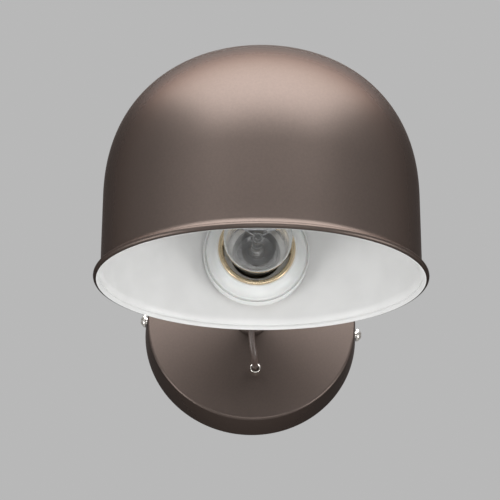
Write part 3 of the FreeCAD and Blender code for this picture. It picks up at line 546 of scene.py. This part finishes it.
def makeSkirt():
    # brass barrel: rounded rim, shallow ridges inside, and plain rings outside that stand for its thread
    r, bore, rim = skirt["radius"], skirt["bore"], skirt["rim"]
    wide, front, back = skirt["shoulder"], skirt["shoulderFront"], cap["front"]
    rimEdge = rounded([(r, rim - skirt["rimOutside"]), (r, rim), (bore, rim),
                       (bore, rim - skirt["rimInside"])], skirt["rimEdges"], skirt["rimSteps"],
                      closed=False)
    start = rim - skirt["ridgeStart"]
    depth = np.linspace(start, rim - skirt["ridgeEnd"], skirt["ridgeSteps"])
    wave = 0.5 - 0.5 * np.cos((start - depth) / skirt["ridgePitch"] * 2 * math.pi)
    ridges = np.stack([bore + skirt["ridgeDepth"] * wave, depth], 1)
    turn = np.linspace(0, 1, skirt["threadSteps"])
    threadDepth = front + skirt["threadStart"] + (rim - skirt["threadEnd"] - front) * turn
    groove = 0.5 - 0.5 * np.cos(turn * skirt["threadTurns"] * 2 * math.pi)
    thread = np.stack([r - skirt["threadDepth"] * groove, threadDepth], 1)
    shoulder = rounded([(bore, skirt["back"]), (r, skirt["back"]), (r, back), (wide, back), (wide, front),
                        (r, front)], skirt["shoulderEdges"], skirt["shoulderSteps"], closed=False)
    piece = spun("lampholderSkirt", np.concatenate([shoulder, thread, rimEdge, ridges]), headSeat,
                 skirt["sides"], sharp=skirt["sharp"])
    finished(piece, "lamp_head", "polishedBrass", "brass", "lampholder_skirt")


ring = {"gap": 0.00005, "radius": 0.0285, "back": 0.04486, "front": 0.05086, "edgeDrop": 0.0010,
        "rimDrop": 0.0006, "grooveRadius": 0.0273, "grooveOuter": 0.0006, "grooveInner": 0.0008,
        "grooveDepth": 0.0021, "faceRise": 0.0003, "collarFoot": 0.0026, "collarWall": 0.0009,
        "collarGap": 0.0016, "edges": [0, 0.0004, 0.0006, 0.0003, 0.00012, 0.0005, 0.0044, 0.0004, 0],
        "steps": 12, "sides": 176, "sharp": 50}


def makeRing():
    # white clamping ring: outer rim, a fine groove, then a hollow curve that rises round the barrel
    bore, wide, groove = skirt["radius"] + ring["gap"], ring["radius"], ring["grooveRadius"]
    back, front, top = ring["back"], ring["front"], skirt["rim"] - ring["collarGap"]
    outline = rounded([(bore, back), (wide, back), (wide, front - ring["edgeDrop"]),
                       (groove + ring["grooveOuter"], front - ring["rimDrop"]),
                       (groove, front - ring["grooveDepth"]), (groove - ring["grooveInner"], front),
                       (bore + ring["collarFoot"], front + ring["faceRise"]),
                       (bore + ring["collarWall"], top), (bore, top)], ring["edges"], ring["steps"])
    finished(spun("shadeRing", outline, headSeat, ring["sides"], sharp=ring["sharp"]), "lamp_head",
             "ringPlastic", "white_plastic", "shade_ring")


makeCap()
makeSkirt()
makeRing()
print("lampholder made")


# bulb

bulb = {"neckDepth": 0.0513, "neckRadius": 0.0124, "bellyDepth": 0.0713, "bellyRadius": 0.0180,
        "tipDepth": 0.1243, "taper": 0.45, "swellPower": 1.3, "wall": 0.0008, "tipWalls": 1.5,
        "tailDepth": 0.0472, "tailRadius": 0.01175, "neckSteps": 22, "tipSteps": 56, "sides": 128,
        "sharp": 80}


def glassSide(inset):
    # neck swells as a sine to the belly, then r = R cos(a) (1 - taper sin(a)^2) narrows to the tip
    u = np.linspace(0, 1, bulb["neckSteps"])[:-1]
    swell = (bulb["bellyRadius"] - bulb["neckRadius"]) * np.sin(u * math.pi / 2) ** bulb["swellPower"]
    neckDepth = bulb["neckDepth"] + (bulb["bellyDepth"] - bulb["neckDepth"]) * u
    neck = np.stack([bulb["neckRadius"] - inset + swell, neckDepth], 1)
    a = np.radians(np.linspace(0, 90, bulb["tipSteps"]))
    tip = bulb["tipDepth"] - bulb["bellyDepth"] - bulb["tipWalls"] * inset
    cone = np.stack([(bulb["bellyRadius"] - inset) * np.cos(a) * (1 - bulb["taper"] * np.sin(a) ** 2),
                     bulb["bellyDepth"] + tip * np.sin(a)], 1)
    cone[-1, 0] = 0
    tail = np.array([(bulb["tailRadius"] - inset, bulb["tailDepth"])])
    return np.concatenate([tail, neck, cone])


def makeGlass():
    outline = np.concatenate([glassSide(bulb["wall"])[::-1], glassSide(0)])
    glass = spun("bulbGlass", outline, headSeat, bulb["sides"], closed=False, sharp=bulb["sharp"])
    finished(glass, "lamp_head", "clearGlass", "clear_glass", "bulb_glass")


makeGlass()
print("bulb made")


# backplate

plate = {"rimRadius": 0.062, "faceRadius": 0.060, "depth": 0.022, "wall": 0.0012, "edge": 0.0016,
         "backInside": 0.0002, "backOutside": 0.0004, "armHole": 0.00515, "eyeletHole": 0.00265,
         "cutBack": 0.01, "cutFront": 0.03, "holeSides": 48, "steps": 12, "insideSteps": 10, "sides": 224,
         "sharp": 45}
eyelet = {"x": 0.002, "z": -0.030, "radius": 0.0030, "stand": 0.0028, "barrel": 0.0026,
          "barrelLength": 0.0042, "bore": 0.0018, "edges": [0, 0, 0, 0.0003, 0.0006, 0.0003], "steps": 6,
          "sides": 72}


def makePlate():
    rim, face, deep, wall, edge = (plate[k] for k in ("rimRadius", "faceRadius", "depth", "wall", "edge"))
    outline = rounded([(rim - wall, 0), (rim, 0), (face, deep), (0, deep)],
                      [plate["backInside"], plate["backOutside"], edge, 0], plate["steps"], closed=False)
    inside = rounded([(0, deep - wall), (face - wall, deep - wall), (rim - wall, 0)], [0, edge - wall, 0],
                     plate["insideSteps"], closed=False)
    cup = spun("backplateCup", np.concatenate([inside[:-1], outline]), wallSeat, plate["sides"],
               closed=False, sharp=plate["sharp"])
    back, front = plate["cutBack"], plate["cutFront"]
    cutters = [spun("cutter", [(0, back), (r, back), (r, front), (0, front)], seat((x, 0, z), 0),
                    plate["holeSides"], closed=False)
               for x, z, r in ((0, 0, plate["armHole"]), (eyelet["x"], eyelet["z"], plate["eyeletHole"]))]
    finished(cutBy(cup, cutters, sharp=plate["sharp"]), "wall_plate", "bronzePaint", "bronze_paint",
             "backplate_cup")


def makeEyelet():
    bore, barrel, wide, stand = (eyelet[k] for k in ("bore", "barrel", "radius", "stand"))
    deep = plate["depth"]
    start = deep - eyelet["barrelLength"]
    outline = rounded([(bore, start), (barrel, start), (barrel, deep), (wide, deep), (wide, deep + stand),
                       (bore, deep + stand)], eyelet["edges"], eyelet["steps"])
    place = seat((eyelet["x"], 0, eyelet["z"]), 0)
    finished(spun("cordEyelet", outline, place, eyelet["sides"]), "wall_plate", "screwNickel", "nickel",
             "cord_eyelet")


# shares are of the head's radius or height
screw = {"turn": 3.3, "depth": 0.011, "reach": 0.0615, "head": 0.00375, "height": 0.003, "shank": 0.002,
         "shankLength": 0.006, "shankEdge": 0.0003, "seatEdge": 0.0002, "topEdge": 0.0004,
         "sideShare": 0.35, "topShare": 0.45, "roundShare": 0.6, "slotLength": 0.006, "slotHalf": 0.0004,
         "slotShare": 0.5, "slotAbove": 0.001, "steps": 8, "sides": 64}


def plateTurned(vector):
    # the screws' axis is turned about the wall's normal, so the right one sits lower
    a = math.radians(screw["turn"])
    x, y, z = vector
    return np.array([x * math.cos(a) + z * math.sin(a), y, -x * math.sin(a) + z * math.cos(a)])


def makeScrews():
    wide, high, shank, length = (screw[k] for k in ("head", "height", "shank", "shankLength"))
    outline = rounded([(0, -length), (shank, -length), (shank, 0), (wide, 0),
                       (wide, high * screw["sideShare"]), (wide * screw["topShare"], high), (0, high)],
                      [0, screw["shankEdge"], 0, screw["seatEdge"], high * screw["roundShare"],
                       screw["topEdge"], 0], screw["steps"], closed=False)
    slotX, slotY = screw["slotLength"], screw["slotHalf"]
    slotOutline = np.array([(-slotX, -slotY), (slotX, -slotY), (slotX, slotY), (-slotX, slotY)])
    pieces = []
    for side in (-1, 1):
        place = {"origin": plateTurned((side * screw["reach"], -screw["depth"], 0)),
                 "right": plateTurned((0, -side, 0)), "up": plateTurned((0, 0, 1)),
                 "out": plateTurned((side, 0, 0))}
        turned = spun("screw", outline, place, screw["sides"], closed=False)
        cutter = block("slotCutter", slotOutline, place, high * screw["slotShare"],
                       high + screw["slotAbove"])
        pieces.append(cutBy(turned, [cutter]))
    finished(joined("sideScrews", pieces), "wall_plate", "screwNickel", "nickel", "side_screws")


makePlate()
makeEyelet()
makeScrews()
print("backplate made")


# arm

arm = {"flangeRadius": 0.0095, "flangeThick": 0.003, "flangeTaper": 0.0015,
       "flangeEdges": [0, 0.0002, 0.0012, 0], "flangeSteps": 8, "flangeSides": 96, "boreRadius": 0.00505,
       "tubeRadius": 0.006, "tubeSides": 72, "lead": 0.005, "bendRadius": 0.012, "run": 0.0044,
       "straightSteps": 4, "bendSteps": 20}


def makeArm():
    deep, bore, wide = plate["depth"], arm["boreRadius"], arm["flangeRadius"]
    start = deep + arm["flangeThick"]
    outline = rounded([(bore, deep), (wide, deep), (wide - arm["flangeTaper"], start), (bore, start)],
                      arm["flangeEdges"], arm["flangeSteps"])
    flange = spun("armFlange", outline, wallSeat, arm["flangeSides"])
    finished(flange, "wall_plate", "bronzePaint", "bronze_paint", "arm_flange")
    # straight lead, round bend upward, short run: the path lies in the plane x = 0
    lead = np.linspace(0, arm["lead"], arm["straightSteps"])[:-1]
    bend = np.linspace(0, armBend, arm["bendSteps"])
    depth = np.concatenate([start + lead, start + arm["lead"] + arm["bendRadius"] * np.sin(bend)])
    rise = np.concatenate([lead * 0, arm["bendRadius"] * (1 - np.cos(bend))])
    run = np.linspace(0, arm["run"], arm["straightSteps"])[1:]
    depth = np.concatenate([depth, depth[-1] + run * math.cos(armBend)])
    rise = np.concatenate([rise, rise[-1] + run * math.sin(armBend)])
    path = np.stack([depth * 0, -depth, rise], 1)
    tube = sweptTube("armTube", path, circle(arm["tubeRadius"], arm["tubeSides"]))
    finished(tube, "wall_plate", "bronzePaint", "bronze_paint", "arm_tube")


makeArm()
print("arm made")


# supply cord, from inside the cup, through the eyelet and up into the cap

cord = {"radius": 0.00175, "sides": 28, "order": 3, "steps": 24,
        "route": [(eyelet["x"], -0.013, eyelet["z"]), (eyelet["x"], -0.032, eyelet["z"]),
                  (-0.0006, -0.040, -0.020), (-0.0012, -0.0443, -0.0085),
                  headPoint(0, 0.0019, -cap["glandDrop"]), headPoint(0, 0.0158, -cap["glandDrop"])]}


def smoothLine(route, name):
    # points read from a smooth spline that the route's points control
    curve = bpy.data.curves.new(name, "CURVE")
    curve.dimensions = "3D"
    spline = curve.splines.new("NURBS")
    spline.points.add(len(route) - 1)
    spline.points.foreach_set("co", np.column_stack([np.array(route), np.ones(len(route))]).ravel())
    spline.order_u = cord["order"]
    spline.use_endpoint_u = True
    spline.resolution_u = cord["steps"]
    carrier = bpy.data.objects.new(name, curve)
    line = bpy.data.meshes.new_from_object(carrier)
    points = np.zeros(len(line.vertices) * 3)
    line.vertices.foreach_get("co", points)
    bpy.data.objects.remove(carrier)
    return points.reshape(-1, 3)


def makeCord():
    path = smoothLine(cord["route"], "cordLine")
    tube = sweptTube("supplyCord", path, circle(cord["radius"], cord["sides"]))
    finished(tube, None, "cordSheath", "cord_sheath", "supply_cord")
    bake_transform(tube)
    print("cord length", round(float(np.linalg.norm(np.diff(path, axis=0), axis=1).sum()), 4))


makeCord()


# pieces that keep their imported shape

kept = {
    "zincSteel": ["wall_bracket", "arm_nipple", "arm_nut", "arm_lock_washer", "holder_nut"],
    "polishedBrass": ["earth_screw", "terminal_screws", "core_screws", "centre_contact"],
    # screw shell and bulb cap get the brass painted nearly black, a painted shade
    "brassPaintedShade": ["screw_shell", "bulb_cap"],
    "screwNickel": ["eyelet_nut", "knuckle_bolt", "knuckle_nut"],
    "bronzePaint": ["knuckle_fork", "knuckle_tongue"],
    "tinnedMetal": ["earth_tag", "bulb_contact"],
    "terminalPlastic": ["terminal_block"],
    "glazedPorcelain": ["insulating_core"],
    "blackGlass": ["bulb_insulator"],
    "brownSheath": ["live_lead"],
    "blueSheath": ["neutral_lead"],
    "earthSheath": ["earth_lead"],
    "cordSheath": ["holder_leads"],
    "glandRubber": ["cord_gland"],
    "washerFibre": ["friction_washers"],
    "clearGlass": ["bulb_stem"],
    "filamentWire": ["bulb_filament"],
}


def dressKept():
    for material, names in kept.items():
        for name in names:
            for slotted in frame["nodes"][name].material_slots:
                slotted.material = materials[material]


dressKept()
print("packed pieces dressed")
